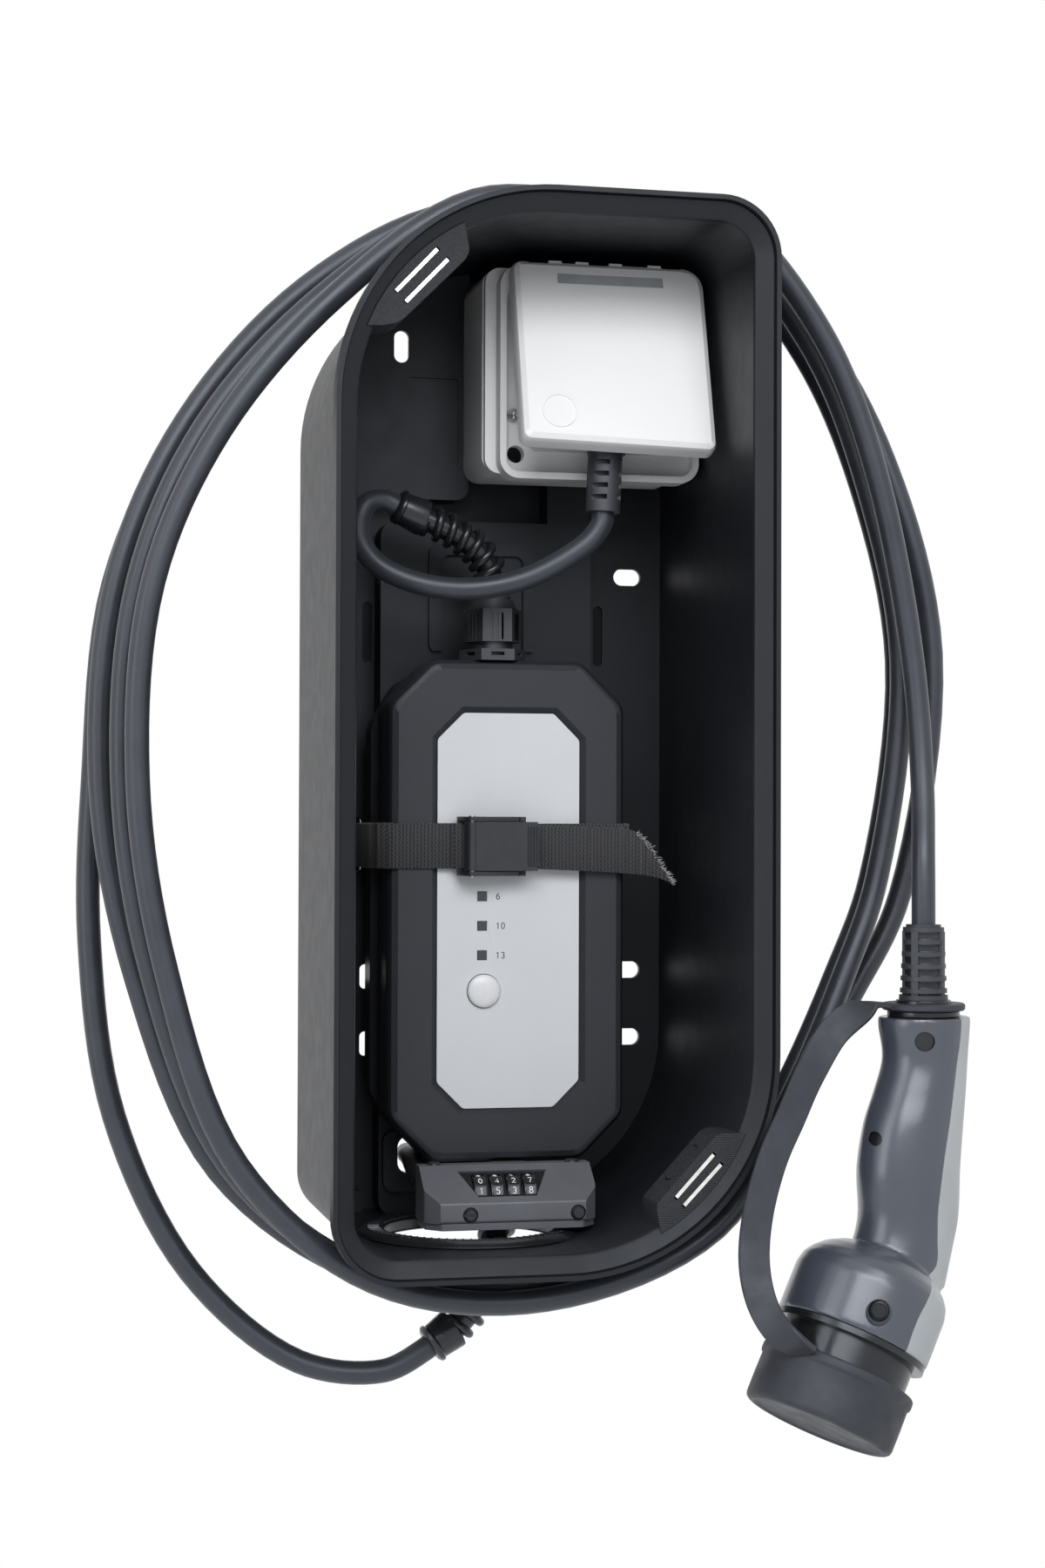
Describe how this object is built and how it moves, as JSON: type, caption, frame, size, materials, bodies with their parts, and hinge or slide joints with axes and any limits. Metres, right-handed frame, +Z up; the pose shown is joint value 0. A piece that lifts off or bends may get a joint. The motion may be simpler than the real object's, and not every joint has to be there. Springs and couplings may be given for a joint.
{
  "type": "ev charger enclosure",
  "caption": "Leaf-shaped open wall shell holding a mains socket, a strapped portable charger box and a dial lock, with the coiled charging cable and connector hung round it.",
  "frame": {"origin": "middle of the four horizontal wall slots, on the back plane that lies against the wall", "axes": "+Z up, +Y into the wall, so the open front faces -Y and +X is to the right seen from the front"},
  "size_m": [0.3928, 0.2058, 0.5576],
  "materials": {
    "shell_black": "satin moulded polypropylene with a fine grain",
    "printed_grey": "printed plastic with fine layer lines",
    "steel_strip": "bright rolled steel strip",
    "trim_rubber": "black edge-trim rubber",
    "socket_white": "white smooth plastic",
    "socket_grey": "light grey plastic",
    "clear_window": "clear plastic",
    "seal_grey": "soft sealing rubber",
    "bare_steel": "plated steel",
    "brass": "plated brass",
    "plug_rubber": "moulded dark rubber",
    "cable_rubber": "dark grey cable sheath",
    "gland_plastic": "dark nylon",
    "relief_black": "glossy black flexible plastic",
    "charger_rear": "dark satin plastic",
    "charger_front": "dark grey satin plastic",
    "label_silver": "silver-white membrane label",
    "led_grey": "smoked window",
    "button_silver": "light domed button",
    "board_green": "circuit board",
    "relay_dark": "dark relay case",
    "webbing_black": "woven black webbing",
    "buckle_black": "black nylon buckle",
    "lock_black": "grained black plastic",
    "dial_white": "dial with light figures",
    "lock_dark": "dark smooth plastic",
    "lock_cable_black": "black sleeved cable",
    "connector_slate": "blue-grey glossy plastic",
    "connector_light": "light grey soft plastic",
    "nose_black": "gloss black plastic",
    "cap_rubber": "worn dark rubber"
  },
  "bodies": {
    "holder": {"shell": "shell_black", "corner_insert_top": "printed_grey", "corner_insert_bottom": "printed_grey", "insert_strips_top": "steel_strip", "insert_strips_bottom": "steel_strip", "floor_grommet": "trim_rubber", "socket_box": "socket_white", "socket_gasket": "seal_grey", "socket_frame": "socket_white", "socket_insert": "socket_grey", "earth_clips": "bare_steel", "hinge_pin": "bare_steel", "hinge_spring": "bare_steel", "frame_screws": "bare_steel", "mains_plug": "plug_rubber", "plug_pins": "brass", "mains_lead": "cable_rubber", "inlet_relief": "relief_black", "inlet_gland": "gland_plastic", "rear_housing": "charger_rear", "front_housing": "charger_front", "housing_seal": "seal_grey", "label_plate": "label_silver", "led_windows": "led_grey", "circuit_board": "board_green", "relays": "relay_dark", "current_sensor": "relay_dark", "housing_screws": "bare_steel", "outlet_gland": "gland_plastic", "outlet_relief": "relief_black", "charging_cable": "cable_rubber", "strap": "webbing_black", "buckle_frame": "buckle_black", "buckle_pin": "bare_steel", "lock_body": "lock_black", "lock_base": "lock_black", "dial_spindle": "bare_steel", "lock_cable": "lock_cable_black", "lock_rivets": "lock_dark", "connector_body": "connector_slate", "connector_spine": "connector_light", "connector_nose": "nose_black", "connector_contacts": "brass", "connector_screws": "bare_steel", "connector_collar": "nose_black", "connector_boot": "plug_rubber", "dust_cap": "cap_rubber"},
    "lid": {"socket_lid": "socket_white", "lid_window": "clear_window"},
    "charger_button": {"press_button": "button_silver"},
    "buckle_cam": {"buckle_lever": "buckle_black"},
    "first_dial": {"dial_1": "dial_white"},
    "second_dial": {"dial_2": "dial_white"},
    "third_dial": {"dial_3": "dial_white"},
    "fourth_dial": {"dial_4": "dial_white"},
    "lock_button": {"release_button": "lock_dark"},
    "lock_knob": {"set_knob": "lock_dark"}
  },
  "joints": [
    {"name": "lid_hinge", "type": "hinge", "parent": "holder", "child": "lid", "pos_m": [0.039, -0.079, 0.2233], "axis": [-1, 0, 0], "range_deg": [0, 55], "stiffness_Nm_per_rad": 0.03, "springref_deg": -17.19},
    {"name": "button_press", "type": "slide", "parent": "holder", "child": "charger_button", "axis": [0, 1, 0], "range_m": [0, 0.0012], "stiffness_N_per_m": 800},
    {"name": "buckle_lever_hinge", "type": "hinge", "parent": "holder", "child": "buckle_cam", "pos_m": [-0.021, -0.075, -0.0347], "axis": [0, 0, -1], "range_deg": [0, 100]},
    {"name": "dial_turn_1", "type": "hinge", "parent": "holder", "child": "first_dial", "pos_m": [-0.0226, -0.0986, -0.187], "axis": [1, 0, 0], "continuous": true},
    {"name": "dial_turn_2", "type": "hinge", "parent": "holder", "child": "second_dial", "pos_m": [-0.0152, -0.0986, -0.187], "axis": [1, 0, 0], "continuous": true},
    {"name": "dial_turn_3", "type": "hinge", "parent": "holder", "child": "third_dial", "pos_m": [-0.0078, -0.0986, -0.187], "axis": [1, 0, 0], "continuous": true},
    {"name": "dial_turn_4", "type": "hinge", "parent": "holder", "child": "fourth_dial", "pos_m": [-0.0004, -0.0986, -0.187], "axis": [1, 0, 0], "continuous": true},
    {"name": "lock_button_press", "type": "slide", "parent": "holder", "child": "lock_button", "axis": [0, 1, 0], "range_m": [0, 0.0025], "stiffness_N_per_m": 500},
    {"name": "lock_knob_turn", "type": "hinge", "parent": "holder", "child": "lock_knob", "pos_m": [-0.0286, -0.108, -0.1941], "axis": [0, 1, 0], "range_deg": [0, 90]}
  ]
}
